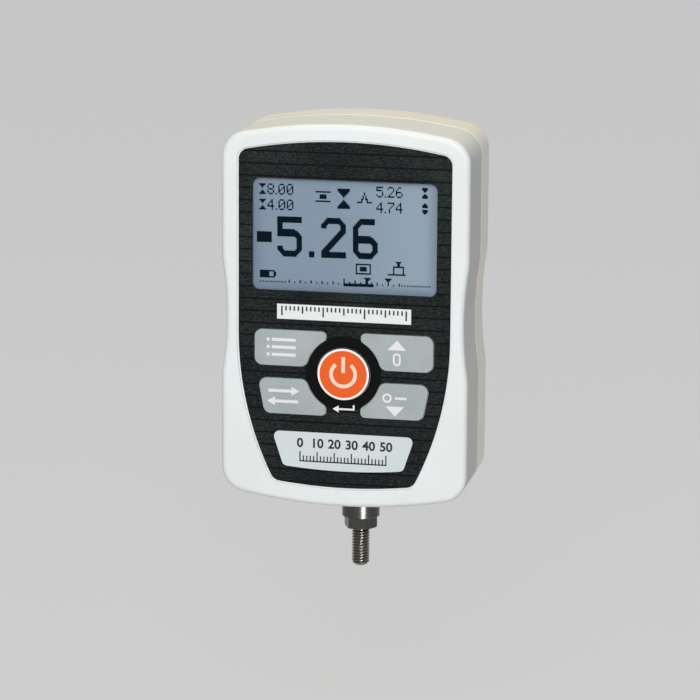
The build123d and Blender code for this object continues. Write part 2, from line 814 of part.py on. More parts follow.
def load_cell():
    """Flexure block: two slots from opposite sides leave an S, and two joined eyes thin its middle."""
    centre = cell_top - cell_height / 2
    outline = Pos(0, centre) * Rectangle(cell_width, cell_height)
    slot_length = cell_width / 2 + cell_slot_end
    for side in (1, -1):
        slot_place = centre + side * (cell_height / 2 - cell_arm - cell_slot / 2)
        slot_middle = -side * (cell_width - slot_length) / 2
        outline -= Pos(slot_middle, slot_place) * Rectangle(slot_length, cell_slot)
        outline -= Pos(side * cell_slot_end, slot_place) * Circle(cell_slot)
        outline -= Pos(side * cell_eye_spacing / 2, centre) * Circle(cell_eye_radius)
    outline -= Pos(0, centre) * Rectangle(cell_eye_spacing, cell_slot)
    block_solid = slab(outline, cell_front, cell_back)
    for x, z in cell_places:
        block_solid -= post(cell_screw_radius + screw_clearance, cell_front - 1, cell_back + 1, x, z)
    return block_solid


def overload_stop():
    """Yoke whose web sits in the groove of the shaft and limits how far it moves."""
    outline = Pos(0, yoke_centre) * Rectangle(yoke_width, yoke_web)
    for x, z in yoke_places:
        outline += Pos(x, z) * Rectangle(yoke_ear_width, yoke_ear_height)
    outline = fillet(outline.vertices(), 0.6)
    for x, z in yoke_places:
        outline -= Pos(x, z) * Circle(yoke_screw_radius + screw_clearance)
    half = shaft_neck_radius + yoke_slot_clearance
    slot = Pos(0, -shaft_depth) * Circle(half)
    slot += Pos(0, (yoke_front - shaft_depth) / 2 - 1) * Rectangle(2 * half, -yoke_front - shaft_depth + 2)
    cut = extrude(Pos(0, 0, yoke_centre) * slot, yoke_ear_height / 2, both=True)
    return slab(outline, yoke_front, yoke_back) - cut


def load_shaft():
    """Turned shaft: stem, groove for the stop, polished cylinder, hexagon and threaded end."""
    heights = [cell_bottom, groove_top, groove_bottom, shaft_shoulder, cylinder_end]
    radii = [shaft_stem_radius, shaft_neck_radius, shaft_stem_radius, shaft_radius]
    shaft = Part()
    for top, bottom, radius in zip(heights, heights[1:], radii):
        shaft += Pos(0, 0, (top + bottom) / 2) * Cylinder(radius, top - bottom)
    shaft = chamfer(shaft.edges().group_by(Axis.Z)[0], shaft_bevel)
    hexagon = RegularPolygon(shaft_hexagon / 2, 6, major_radius=False, rotation=shaft_hexagon_turn)
    shaft += extrude(Pos(0, 0, hexagon_end) * hexagon, shaft_hexagon_length)
    relief = Cylinder(shaft_relief_radius, shaft_relief_length)
    shaft += Pos(0, 0, (hexagon_end + relief_end) / 2) * relief
    thread = Cylinder(shaft_thread_radius, shaft_thread_length)
    thread = chamfer(thread.edges().group_by(Axis.Z)[0], shaft_tip_chamfer)
    thread = chamfer(thread.edges().group_by(Axis.Z)[-1], shaft_thread_radius - shaft_relief_radius)
    shaft += Pos(0, 0, (relief_end + shaft_end) / 2) * thread
    return Pos(0, -shaft_depth, 0) * shaft


def ring_insert(outer, inner, length, x=0.0, z=0.0):
    ring = post(outer, -length, 0, x, z) - post(inner, -length - 1, 1, x, z)
    mouth = ring.edges().filter_by(GeomType.CIRCLE).group_by(Axis.Y)[-1].sort_by(SortBy.RADIUS)[0]
    return chamfer(mouth, 0.3)


def dowel_insert():
    return ring_insert(dowel_insert_radius, dowel_radius, dowel_insert_length)


def mount_inserts():
    sizes = (mount_insert_radius, mount_hole_radius, mount_insert_length)
    return group(ring_insert(*sizes, x, z) for x, z in mount_places)


def joint_screws():
    length = joint_thread_length - seam - joint_head_depth
    screw = socket_screw(joint_screw_radius, length, joint_head_radius, joint_head_height, large_driver)
    return group(facing_back(x, -joint_head_depth, z) * screw for x, z in joint_places)


def board_screws():
    length = board_thickness + board_thread_length
    screw = socket_screw(board_screw_radius, length, small_head_radius, small_head_height, small_driver)
    return group(facing_back(x, board_back, z) * screw for x, z in board_places)


def strap_screws():
    seat = back_inside - strap_seat - strap_thickness
    length = -seat - boss_floor - screw_clearance
    screw = socket_screw(strap_screw_radius, length, small_head_radius, small_head_height, small_driver)
    return group(facing_front(x, seat, z) * screw for x, z in strap_places)


def cell_screws():
    length = -cell_front - boss_floor / 2 - screw_clearance
    screw = socket_screw(cell_screw_radius, length, cell_head_radius, cell_head_height, large_driver)
    return group(facing_front(x, cell_front, z) * screw for x, z in cell_places)


def yoke_screws():
    length = -yoke_front - boss_floor / 2 - screw_clearance
    screw = socket_screw(yoke_screw_radius, length, yoke_head_radius, yoke_head_height, large_driver)
    return group(facing_front(x, yoke_front, z) * screw for x, z in yoke_places)


pieces = {
    "front_cover": front_cover(),
    "rear_cover": rear_cover(),
    "graphic_overlay": graphic_overlay(),
    "display_window": display_window(),
    "label_plate": label_plate(),
    "key_spacer": key_spacer(),
    "keypad_circuit": keypad_circuit(),
    "display_frame": display_frame(),
    "display_glass": display_glass(),
    "backlight": backlight(),
    "main_board": main_board(),
    "board_chips": board_chips(),
    "buzzer": buzzer(),
    "tail_socket": tail_socket(),
    "io_connector": io_connector(),
    "io_posts": io_posts(),
    "usb_socket": usb_socket(),
    "power_jack": power_jack(),
    "battery_pack": battery_pack(),
    "battery_strap": battery_strap(),
    "load_cell": load_cell(),
    "overload_stop": overload_stop(),
    "load_shaft": load_shaft(),
    "dowel_insert": dowel_insert(),
    "mount_inserts": mount_inserts(),
    "joint_screws": joint_screws(),
    "board_screws": board_screws(),
    "strap_screws": strap_screws(),
    "cell_screws": cell_screws(),
    "yoke_screws": yoke_screws(),
}
for name in key_names:
    pieces["key_" + name] = key(name)
    pieces["dome_" + name] = snap_dome(name)

os.makedirs("parts", exist_ok=True)
for name, solid in pieces.items():
    export_step(solid, f"parts/{name}.step")
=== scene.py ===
import math

import bpy
import numpy as np
from mathutils import Matrix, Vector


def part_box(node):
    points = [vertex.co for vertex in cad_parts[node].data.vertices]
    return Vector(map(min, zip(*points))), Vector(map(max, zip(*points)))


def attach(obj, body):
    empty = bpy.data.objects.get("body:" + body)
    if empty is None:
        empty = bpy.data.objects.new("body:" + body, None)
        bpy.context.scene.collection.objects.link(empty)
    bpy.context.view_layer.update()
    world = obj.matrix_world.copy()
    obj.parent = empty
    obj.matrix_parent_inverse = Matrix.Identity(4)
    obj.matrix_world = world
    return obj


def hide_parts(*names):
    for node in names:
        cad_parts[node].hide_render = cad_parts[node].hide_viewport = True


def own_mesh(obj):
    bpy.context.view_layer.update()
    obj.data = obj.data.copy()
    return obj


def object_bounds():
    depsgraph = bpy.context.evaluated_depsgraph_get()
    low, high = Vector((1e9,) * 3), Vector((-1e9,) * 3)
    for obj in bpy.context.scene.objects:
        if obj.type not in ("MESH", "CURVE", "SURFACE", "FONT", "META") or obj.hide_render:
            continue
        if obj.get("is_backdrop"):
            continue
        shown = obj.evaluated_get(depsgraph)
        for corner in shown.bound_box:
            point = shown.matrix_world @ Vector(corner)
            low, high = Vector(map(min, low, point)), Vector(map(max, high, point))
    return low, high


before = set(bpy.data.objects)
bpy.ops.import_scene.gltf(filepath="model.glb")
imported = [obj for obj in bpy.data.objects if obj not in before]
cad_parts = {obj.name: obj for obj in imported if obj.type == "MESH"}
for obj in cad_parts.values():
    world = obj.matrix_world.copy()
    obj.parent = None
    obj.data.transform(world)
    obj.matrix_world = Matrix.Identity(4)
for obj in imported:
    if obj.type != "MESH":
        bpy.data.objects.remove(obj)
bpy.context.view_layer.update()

# Housing: two aluminium die castings, screwed together from behind and painted a smooth satin
# off-white. The paint has the faint waviness of a sprayed coat and pools very slightly.
case_white = (0.79, 0.825, 0.84, 1)
case_shade = (0.755, 0.785, 0.785, 1)
# The rear casting is tinted cream and made lighter than the front: partly its own cream paint, partly
# painted warm light falling from above and from the right.
rear_cream_painted_warm_light = (0.95, 0.915, 0.765, 1)
rear_pool_cream_painted_warm_light = (0.92, 0.88, 0.725, 1)


class Wire:
    """An output of a shader node. Arithmetic on wires, or on a wire and a number, adds Math nodes."""

    def __init__(self, tree, socket):
        self.tree = tree
        self.socket = socket

    def node(self, kind, settings=None, sockets=None, output=0):
        """Adds one node, sets it up, then gives its sockets their values or links."""
        made = self.tree.nodes.new("ShaderNode" + kind)
        for name, value in (settings or {}).items():
            setattr(made, name, value)
        for name, value in (sockets or {}).items():
            if isinstance(value, Wire):
                self.tree.links.new(value.socket, made.inputs[name])
            else:
                made.inputs[name].default_value = value
        return Wire(self.tree, made.outputs[output])

    def maths(self, operation, *values):
        return self.node("Math", {"operation": operation}, dict(enumerate((self, *values))))

    def __add__(self, other):
        return self.maths("ADD", other)

    def __sub__(self, other):
        return self.maths("SUBTRACT", other)

    def __mul__(self, other):
        return self.maths("MULTIPLY", other)

    def __truediv__(self, other):
        return self.maths("DIVIDE", other)

    def __rsub__(self, other):
        return self.maths("MULTIPLY", -1.0) + other

    __radd__ = __add__
    __rmul__ = __mul__

    def blend(self, low, high):
        """Colour that goes from one to the other as this wire goes from 0 to 1."""
        return self.node("Mix", {"data_type": "RGBA"}, {0: self, 6: low, 7: high}, 2)

    def step(self, start, end):
        """0 below the start, 1 above the end, and a smooth ramp between them."""
        sockets = {"Value": self, "From Min": start, "From Max": end}
        return self.node("MapRange", {"interpolation_type": "SMOOTHSTEP"}, sockets)

    def noise(self, scale, detail=2.0, roughness=0.5):
        """Cloudy noise from 0 to 1 over a coordinate, at a scale in features per metre."""
        sockets = {"Vector": self, "Scale": scale, "Detail": detail, "Roughness": roughness}
        return self.node("TexNoise", None, sockets)

    def along(self, axis):
        return self.node("SeparateXYZ", None, {0: self}, axis)

    def stretched(self, x, y, z):
        return self.node("Mapping", None, {"Vector": self, "Scale": (x, y, z)})

    def relief(self, depth, strength=1.0):
        """Normal of a surface that this wire raises by up to a depth in metres."""
        return self.node("Bump", None, {"Height": self, "Distance": depth, "Strength": strength}, "Normal")


def finish(name, colour, roughness, **plain):
    """A finish with plain values on its shader's sockets; returns it and its own coordinates."""
    made = bpy.data.materials.new(name)
    made.use_nodes = True
    shader = made.node_tree.nodes["Principled BSDF"]
    shader.inputs["Base Color"].default_value = colour
    shader.inputs["Roughness"].default_value = roughness
    for socket, value in plain.items():
        shader.inputs[socket.replace("_", " ")].default_value = value
    place = made.node_tree.nodes.new("ShaderNodeTexCoord").outputs["Object"]
    return made, Wire(made.node_tree, place)


def feed(material, **wires):
    """Links wires to the shader's sockets of these names."""
    shader = material.node_tree.nodes["Principled BSDF"]
    for socket, wire in wires.items():
        material.node_tree.links.new(wire.socket, shader.inputs[socket.replace("_", " ")])


def dress(material, *names):
    """Gives CAD nodes their finish."""
    for name in names:
        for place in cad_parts[name].material_slots:
            place.material = material


def case_paint(name, light, shade, gloss):
    """Sprayed paint: cloudy patches where it pools, and the fine ripple of its skin."""
    paint, place = finish(name, light, 0.42, Specular_IOR_Level=0.3, Coat_Weight=gloss, Coat_Roughness=0.15)
    pools = place.noise(55.0, 3.0)
    peel = place.noise(900.0, 2.0) + place.noise(2600.0, 1.0) * 0.3
    feed(paint, Base_Color=pools.step(0.3, 0.8).blend(light, shade),
         Roughness=pools * 0.12 + 0.36, Normal=peel.relief(0.00001, 0.5))
    return paint


dress(case_paint("front case paint", case_white, case_shade, 0.0), "front_cover")
# rear casting: cream paint that is partly painted warm light
dress(case_paint("rear case paint with painted warm light", rear_cream_painted_warm_light, rear_pool_cream_painted_warm_light, 0.8), "rear_cover")

# Graphic overlay: a polyester sheet with a fine texture, printed charcoal from behind, with black
# lines across it and a plain black disc round the power key. It is glued into the case's recess.
overlay_tone = (0.0025, 0.0050, 0.0052, 1)
overlay_fleck = (0.041, 0.049, 0.049, 1)
line_tone = (0.0015, 0.0018, 0.0018, 1)
line_first = 0.0400
line_pitch = 0.00325
line_width = 0.0004
disc_centre = -0.0149
disc_radius = 0.0101

sheet, place = finish("overlay film", overlay_tone, 0.5, Specular_IOR_Level=0.08)
across, height = place.along(0), place.along(2)
phase = ((height - line_first) / line_pitch).maths("ADD", 100.5).maths("FRACT") - 0.5
line = 1 - phase.maths("ABSOLUTE").step(0.35 * line_width / line_pitch, 0.65 * line_width / line_pitch)
rise = height - disc_centre
distance = (across * across + rise * rise).maths("SQRT")
disc = 1 - distance.step(disc_radius - 0.0001, disc_radius + 0.0001)
grain = place.noise(3000.0, 3.0, 0.7)
weft = place.stretched(0.25, 1.0, 1.0).noise(3600.0, 1.0)
worn = place.noise(60.0, 2.0)
tone = (grain * 0.55 + weft * 0.3 + worn * 0.15).step(0.42, 0.68).blend(overlay_tone, overlay_fleck)
feed(sheet, Base_Color=line.maths("MAXIMUM", disc).blend(tone, line_tone),
     Roughness=grain * 0.2 + 0.42, Normal=grain.relief(0.00001, 0.6))
dress(sheet, "graphic_overlay")

# Display: a clear, slightly matt window under the overlay, and behind it a twisted-nematic panel
# with its frame, glass and diffuser. The picture is a grid of square dots between the panes.
window_tone = (0.62, 0.68, 0.74, 1)
panel_tone = (0.162, 0.220, 0.294, 1)
panel_right = (0.205, 0.272, 0.335, 1)
# darker tone for the panel's edges: painted shade
panel_edge_painted_shade = (0.128, 0.172, 0.240, 1)
dot_tone = (0.0, 0.0040, 0.0105, 1)
panel_face = -0.03024
panel_depth = 0.00004
panel_width = 0.0495
panel_height = 0.0302
panel_centre = 0.0216
dot_pitch_x = 0.000365
dot_pitch_z = 0.000408
dot_share = 0.992
dot_depth = 0.00002
dot_columns, dot_rows = 128, 65
picture_left = -0.0236
picture_top = 0.03472
picture_lean = math.radians(0.6)


def tube(rings, closed=False):
    """A closed surface through rings of points, each point joined to the next ring's.

    The rings are one array (ring, point, 3). A closed tube joins its last ring to its first;
    an open one gets a flat lid at each end. The faces are turned outwards by its volume.
    """
    rings = np.asarray(rings, float)
    count, around = rings.shape[:2]
    runs = count if closed else count - 1
    ring, point = np.meshgrid(np.arange(runs), np.arange(around), indexing="ij")
    here, there = ring * around, (ring + 1) % count * around
    beside = (point + 1) % around
    sides = np.stack([here + point, here + beside, there + beside, there + point], -1).reshape(-1, 4)
    faces = sides.tolist()
    if not closed:
        faces += [list(range(around))[::-1], list(range((count - 1) * around, count * around))]
    points = rings.reshape(-1, 3)
    middle = points - points.mean(0)
    first, second, third = middle[sides[:, 0]], middle[sides[:, 1]], middle[sides[:, 2]]
    fourth = middle[sides[:, 3]]
    volume = (np.cross(first, second) * third).sum() + (np.cross(first, third) * fourth).sum()
    if volume < 0:
        faces = [face[::-1] for face in faces]
    return points, faces


def piece(name, parts, material, body, smooth=False):
    """One object made of several closed surfaces, at the origin, riding on a body."""
    points, faces, start = [], [], 0
    for part_points, part_faces in parts:
        points.append(part_points)
        faces += [[start + corner for corner in face] for face in part_faces]
        start += len(part_points)
    mesh = bpy.data.meshes.new(name)
    mesh.from_pydata(np.concatenate(points).tolist(), [], faces)
    mesh.materials.append(material)
    mesh.update()
    if smooth:
        mesh.shade_smooth()
        mesh.set_sharp_from_angle(angle=math.radians(28))
    made = bpy.data.objects.new(name, mesh)
    bpy.context.collection.objects.link(made)
    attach(made, body)
    return made


def board(left, right, low, high, face, depth):
    """A flat upright block, as a tube of two rectangular rings."""
    corners = np.array([(left, low), (right, low), (right, high), (left, high)])
    rings = np.zeros((2, 4, 3))
    rings[:, :, 0], rings[:, :, 2] = corners[:, 0], corners[:, 1]
    rings[0, :, 1], rings[1, :, 1] = face, face + depth
    return tube(rings)


glazing, place = finish("window", window_tone, 0.16, Alpha=0.004, IOR=1.5)
haze = place.noise(4000.0, 2.0)
feed(glazing, Roughness=haze * 0.12 + 0.1, Normal=haze.relief(0.000002, 0.4))
dress(glazing, "display_window")

backing, place = finish("display panel", panel_tone, 0.45, Emission_Strength=0.18)
# the panel darkens towards all four of its edges: painted shade along the window's frame
side = place.along(0).maths("ABSOLUTE").step(0.0205, 0.0243)
rim_painted_shade = (place.along(2) - panel_centre).maths("ABSOLUTE").step(0.0120, 0.0147)
cloud = place.noise(140.0, 3.0) * 0.16 - 0.08
across = (place.along(0).step(-0.006, 0.020) + cloud).blend(panel_tone, panel_right)
lit = (side.maths("MAXIMUM", rim_painted_shade) * 0.8).blend(across, panel_edge_painted_shade)
feed(backing, Base_Color=lit, Emission_Color=lit, Roughness=place.noise(3000.0) * 0.1 + 0.4)
panel = board(-panel_width / 2, panel_width / 2, panel_centre - panel_height / 2,
              panel_centre + panel_height / 2, panel_face, panel_depth)
piece("display_panel", [panel], backing, "housing")

picture = np.zeros((dot_rows, dot_columns), bool)
row_at, column_at = np.meshgrid(np.arange(dot_rows) + 0.5, np.arange(dot_columns) + 0.5, indexing="ij")


def fill(left, top, width, height, dark=True):
    """Darkens a block of dots, or clears it."""
    picture[top : top + height, left : left + width] = dark


def pen(points, left, top, half):
    """Darkens the dots within half a stroke of a run of straight lines.

    Where a slanting line joins another, the corner is round; level and upright ones meet square.
    """
    points = np.asarray(points, float)
    runs = np.diff(points, axis=0)
    straight = (runs == 0).any(1)
    for index, ((x, y), (run_x, run_y)) in enumerate(zip(points, runs)):
        length = math.hypot(run_x, run_y)
        from_x, from_y = column_at - left - x, row_at - top - y
        along = (from_x * run_x + from_y * run_y) / length
        off = np.abs(from_x * run_y - from_y * run_x) / length
        before = half if index > 0 and straight[index - 1] and straight[index] else 0
        after = half if index + 1 < len(runs) and straight[index + 1] and straight[index] else 0
        picture[(off <= half) & (along >= -before) & (along <= length + after)] = True
        if index > 0 and not before:
            picture[np.hypot(from_x, from_y) <= half] = True


def arrowhead(middle, base, width, height):
    """Solid triangle: its base lies on a row, and it points down for a height above 0, else up."""
    reach = (row_at - base) / height
    inside = (reach > 0) & (reach < 1)
    picture[inside & (np.abs(column_at - middle) < width / 2 * (1 - reach) + 0.3)] = True


small_figures = {
    "0": (14, 17, 19, 21, 25, 17, 14),
    "2": (14, 17, 1, 2, 4, 8, 31),
    "4": (2, 6, 10, 18, 31, 2, 2),
    "5": (31, 16, 30, 1, 1, 17, 14),
    "6": (6, 8, 16, 30, 17, 17, 14),
    "7": (31, 1, 2, 4, 8, 8, 8),
    "8": (14, 17, 17, 14, 17, 17, 14),
}


def small_number(figures, left, top):
    """Writes a number in figures of five by seven dots, each row's dots being the bits of one value."""
    for figure in figures:
        if figure == ".":
            fill(left, top + 6, 1, 1)
            left += 2
            continue
        rows = np.array(small_figures[figure])
        picture[top : top + 7, left : left + 5] |= (rows[:, None] >> np.arange(4, -1, -1) & 1) > 0
        left += 6


large_figures = {
    "5": [(18, 2), (2, 2), (2, 10.5), (13, 10.5), (16, 13.5), (16, 21), (13, 24), (5, 24), (2, 21),
          (2, 19.5)],
    "2": [(2, 6.5), (2, 5), (5, 2), (13, 2), (16, 5), (16, 8.5), (2, 22.5), (2, 24), (18, 24)],
    "6": [(15.5, 2), (6, 2), (2, 6), (2, 21), (5, 24), (13, 24), (16, 21), (16, 16.5), (13, 13.5),
          (2, 13.5)],
}

small_number("8.00", 8, 0)
small_number("4.00", 8, 10)
small_number("5.26", 87, 0)
small_number("4.74", 87, 10)
for middle, base, size in ((4.5, 0, 3), (4.5, 10, 3), (122.0, 0, 3), (63.5, 2, 6)):
    arrowhead(middle, base, size * 5 / 3, size)
    arrowhead(middle, base + 2 * size + 1, size * 5 / 3, -size)
arrowhead(122.0, 13, 5, -3)
arrowhead(122.0, 14, 5, 3)
fill(0, 31, 11, 7)
fill(38, 43, 4, 4)
large_top, large_half_stroke = 21, 2.0
for figure, left in (("5", 15), ("2", 47), ("6", 70)):
    pen(large_figures[figure], left, large_top, large_half_stroke)
# battery
fill(2, 56, 11, 5)
fill(13, 57, 1, 3)
fill(9, 57, 3, 3, False)
# set points, peak, link and load symbols
fill(43, 4, 11, 1)
fill(43, 10, 11, 1)
fill(46, 6, 5, 3)
pen([(0.5, 6.5), (3.0, 6.5), (5.5, 1.0), (8.0, 6.5), (11.0, 6.5)], 73, 4, 0.62)
pen([(0.5, 0.5), (10.5, 0.5), (10.5, 6.5), (0.5, 6.5), (0.5, 0.5)], 72, 50, 0.5)
fill(72, 50, 1, 1)
fill(75, 52, 5, 3)
fill(95, 56, 13, 1)
fill(99, 51, 1, 5)
fill(106, 51, 1, 5)
fill(99, 51, 8, 1)
fill(101, 48, 4, 1)
fill(102, 49, 2, 2)
# bar graph along the foot, with a flag at each set point
picture[63, 2:22:2] = True
picture[63, 105:126:2] = True
for step, column in enumerate(range(23, 104, 4)):
    height = (1 if step % 2 else 2) + (63 < column < 85)
    fill(column, 64 - height, 1, height)
fill(63, 63, 22, 2)
fill(63, 60, 1, 3)
for column in (80, 95):
    for row, reach in enumerate((2, 1, 0, 0)):
        fill(column - reach, 59 + row, 2 * reach + 1, 1)

dark_rows, dark_columns = np.nonzero(picture)
corner = np.array([(0, 0, 0), (1, 0, 0), (1, 0, 1), (0, 0, 1), (0, 1, 0), (1, 1, 0), (1, 1, 1), (0, 1, 1)])
dot_size = np.array([dot_pitch_x * dot_share, dot_depth, -dot_pitch_z * dot_share])
dot_place = np.stack([picture_left + dark_columns * dot_pitch_x,
                      np.full(len(dark_rows), panel_face - dot_depth),
                      picture_top - dark_rows * dot_pitch_z], -1)
dot_points = (dot_place[:, None] + corner * dot_size).reshape(-1, 3)
# the glass sits a little askew behind its window: its right end is turned up about the middle
across, rise = dot_points[:, 0], dot_points[:, 2] - panel_centre
dot_points = np.stack([across * math.cos(picture_lean) - rise * math.sin(picture_lean), dot_points[:, 1],
                       panel_centre + across * math.sin(picture_lean) + rise * math.cos(picture_lean)], -1)
sides = np.array([(1, 2, 3, 0), (7, 6, 5, 4), (4, 5, 1, 0), (5, 6, 2, 1), (6, 7, 3, 2), (7, 4, 0, 3)])
dot_faces = (np.arange(len(dark_rows))[:, None, None] * 8 + sides).reshape(-1, 4)
darkened, place = finish("darkened dots", dot_tone, 0.5, Specular_IOR_Level=0.0)
feed(darkened, Base_Color=place.noise(300.0).blend(dot_tone, (0.0002, 0.0052, 0.0130, 1)),
     Roughness=place.noise(2000.0) * 0.2 + 0.4)
piece("display_dots", [(dot_points, dot_faces.tolist())], darkened, "housing")

# Function keys: embossed pads of the overlay's own film, printed grey from behind. Their signs are
# screen printed in white, as is the ring on the orange power key with its standby sign.
key_grey = (0.325, 0.370, 0.385, 1)
key_grey_light = (0.425, 0.465, 0.475, 1)
key_orange = (0.84, 0.118, 0.010, 1)
key_orange_deep = (0.77, 0.095, 0.008, 1)
ink_white = (0.80, 0.77, 0.82, 1)
ring_white = (0.95, 0.90, 0.86, 1)
key_face = -0.0321
key_ink = 0.00002
overlay_face = -0.0317

grey, place = finish("key film grey", key_grey, 0.5, Specular_IOR_Level=0.4)
grain = place.noise(4200.0, 2.0, 0.6)
sheen = place.noise(90.0, 2.0)
feed(grey, Base_Color=(grain * 0.6 + sheen * 0.4).step(0.3, 0.72).blend(key_grey, key_grey_light),
     Roughness=grain * 0.15 + 0.42, Normal=grain.relief(0.00001, 0.5))
dress(grey, "key_menu", "key_zero", "key_data", "key_mode")

orange, place = finish("key film orange", key_orange, 0.45, Specular_IOR_Level=0.35)
across, rise = place.along(0), place.along(2) - disc_centre
distance = (across * across + rise * rise).maths("SQRT")
grain = place.noise(4200.0, 2.0, 0.6)
body_tone = grain.step(0.3, 0.75).blend(key_orange, key_orange_deep)
ringed = distance.step(0.00628, 0.00632).blend(body_tone, ring_white)
feed(orange, Base_Color=distance.step(0.00683, 0.00687).blend(ringed, line_tone),
     Roughness=grain * 0.15 + 0.36, Normal=grain.relief(0.00001, 0.5))
dress(orange, "key_power")


def printed(name, tone, speck):
    """Screen-printed ink, slightly speckled."""
    made, place = finish(name, tone, 0.5)
    speckle = place.noise(6000.0, 2.0)
    feed(made, Base_Color=speckle.step(0.35, 0.9).blend(tone, speck), Roughness=speckle * 0.2 + 0.4)
    return made


ink = printed("white ink", ink_white, (0.72, 0.69, 0.74, 1))
power_ink = printed("warm white ink", (0.95, 0.70, 0.55, 1), (0.90, 0.62, 0.46, 1))


def stroke(path, width, face, depth, closed=False):
    """A flat band along a path in the upright plane: at each point it reaches half its width to
    either side, along the bisector of the two runs that meet there, so it keeps its width."""
    path = np.asarray(path, float)
    after = np.roll(path, -1, 0) - path
    if not closed:
        after[-1] = after[-2]
    after /= np.linalg.norm(after, axis=1, keepdims=True)
    before = np.roll(after, 1, 0)
    if not closed:
        before[0] = after[0]
    heading = after + before
    heading /= np.linalg.norm(heading, axis=1, keepdims=True)
    reach = np.broadcast_to(np.asarray(width, float) / 2, len(path)) / (heading * after).sum(1)
    aside = np.stack([-heading[:, 1], heading[:, 0]], -1) * reach[:, None]
    rings = np.zeros((len(path), 4, 3))
    rings[:, :, 0::2] = np.stack([path + aside, path - aside, path - aside, path + aside], 1)
    rings[:, :2, 1], rings[:, 2:, 1] = face - depth, face
    return tube(rings, closed)


def arc(middle_x, middle_z, radius, start, end, count):
    """Points of a circle, from one angle to another in degrees, counted from +X towards +Z."""
    turn = np.radians(np.linspace(start, end, count))
    return np.stack([middle_x + radius * np.cos(turn), middle_z + radius * np.sin(turn)], -1)


def key_sign(name, body, strokes):
    """White strokes on a grey key, each a path, a width and whether it closes on itself."""
    parts = [stroke(path, width, key_face, key_ink, closed) for path, width, closed in strokes]
    return piece(name, parts, ink, body)


# menu: three list bars; data: a pair of arrows; zero: an arrow up and a nought; mode: a ring, a
# dash and an arrow down
menu_x, data_x, zero_x, mode_x = -0.0165, -0.0160, 0.0142, 0.0138
bar_line, ring_line, dash_line, point = 0.0008, 0.0005, 0.0006, 0.0001
arrow_width, triangle_width = 0.0024, 0.0050
standby_radius, standby_line, standby_half_gap = 0.00322, 0.00095, 38.7

bars = []
for level in (-0.0064, -0.0084, -0.0104):
    bars.append(([(menu_x - 0.0026, level), (menu_x + 0.0038, level)], bar_line, False))
    bars.append(([(menu_x - 0.0040, level), (menu_x - 0.0032, level)], bar_line, False))
key_sign("menu_sign", "menu_key", bars)
arrows = []
for level, way in ((-0.0201, 1), (-0.0229, -1)):
    tail, neck, tip = (data_x + way * reach for reach in (-0.0040, 0.0022, 0.0042))
    arrows.append(([(tail, level), (neck, level)], bar_line, False))
    arrows.append(([(neck, level), (tip, level)], [arrow_width, point], False))
key_sign("data_sign", "data_key", arrows)
nought = np.concatenate([arc(zero_x, -0.0096, 0.0008, 0, 180, 12),
                         arc(zero_x, -0.0109, 0.0008, 180, 360, 12)])
key_sign("zero_sign", "zero_key", [
    ([(zero_x, -0.0078), (zero_x, -0.0052)], [triangle_width, point], False),
    (nought, ring_line, True)])
key_sign("mode_sign", "mode_key", [
    (arc(mode_x - 0.0021, -0.0206, 0.0010, 0, 345, 24), ring_line, True),
    ([(mode_x, -0.0206), (mode_x + 0.0031, -0.0206)], dash_line, False),
    ([(mode_x, -0.0228), (mode_x, -0.0254)], [triangle_width, point], False)])
opened = arc(0, disc_centre, standby_radius, 90 + standby_half_gap, 450 - standby_half_gap, 48)
parts = [stroke(opened, standby_line, key_face, key_ink),
         stroke([(0, disc_centre + 0.0004), (0, disc_centre + 0.0046)], standby_line, key_face, key_ink)]
piece("power_sign", parts, power_ink, "power_key")

# Prints on the overlay: a pale strip with fine divisions under the display, and a return arrow
# under the power key. Both are screen printed on the sheet.
strip_tone = (0.80, 0.82, 0.82, 1)
strip_width, strip_height, strip_level = 0.0356, 0.0040, 0.0011
print_depth = 0.00002
division_pitch, division_line, division_inset = 0.00110, 0.00042, 0.0005
return_level = -0.0243

pale = printed("pale print", strip_tone, (0.70, 0.72, 0.72, 1))
black = printed("black print", (0.003, 0.0035, 0.004, 1), (0.007, 0.0075, 0.008, 1))
strip = board(-strip_width / 2, strip_width / 2, strip_level - strip_height / 2,
              strip_level + strip_height / 2, overlay_face - print_depth, print_depth)
piece("overlay_strip", [strip], pale, "housing")
parts = []
strip_face = overlay_face - print_depth
top = strip_level + strip_height / 2 - division_inset
for step in range(31):
    x = (step - 15) * division_pitch
    length = 0.0026 if step % 10 == 0 else 0.0019 if step % 5 == 0 else 0.0012
    parts.append(stroke([(x, top), (x, top - length)], division_line, strip_face, print_depth))
piece("strip_divisions", parts, black, "housing")
shank = [(0.0028, return_level + 0.0012), (0.0028, return_level), (-0.0012, return_level)]
head = [(-0.0012, return_level), (-0.0028, return_level)]
parts = [stroke(shank, 0.0005, overlay_face, print_depth),
         stroke(head, [0.0019, point], overlay_face, print_depth)]
piece("return_sign", parts, ink, "housing")

# Label plate: a satin film stuck over the foot of the overlay, printed with a plain scale of load.
label_tone = (0.645, 0.705, 0.72, 1)
label_tone_worn = (0.595, 0.655, 0.675, 1)
label_face = -0.03182
label_ink = 0.00002
numeral_size, numeral_level = 0.0034, -0.0340
scale_pitch, scale_foot, scale_line = 0.00092, -0.0388, 0.00034

film, place = finish("label film", label_tone, 0.4)
grain = place.noise(3500.0, 2.0, 0.6)
patches = (grain * 0.5 + place.noise(70.0) * 0.5).step(0.3, 0.75)
feed(film, Base_Color=patches.blend(label_tone, label_tone_worn),
     Roughness=grain * 0.15 + 0.34, Normal=grain.relief(0.00001, 0.35))
dress(film, "label_plate")


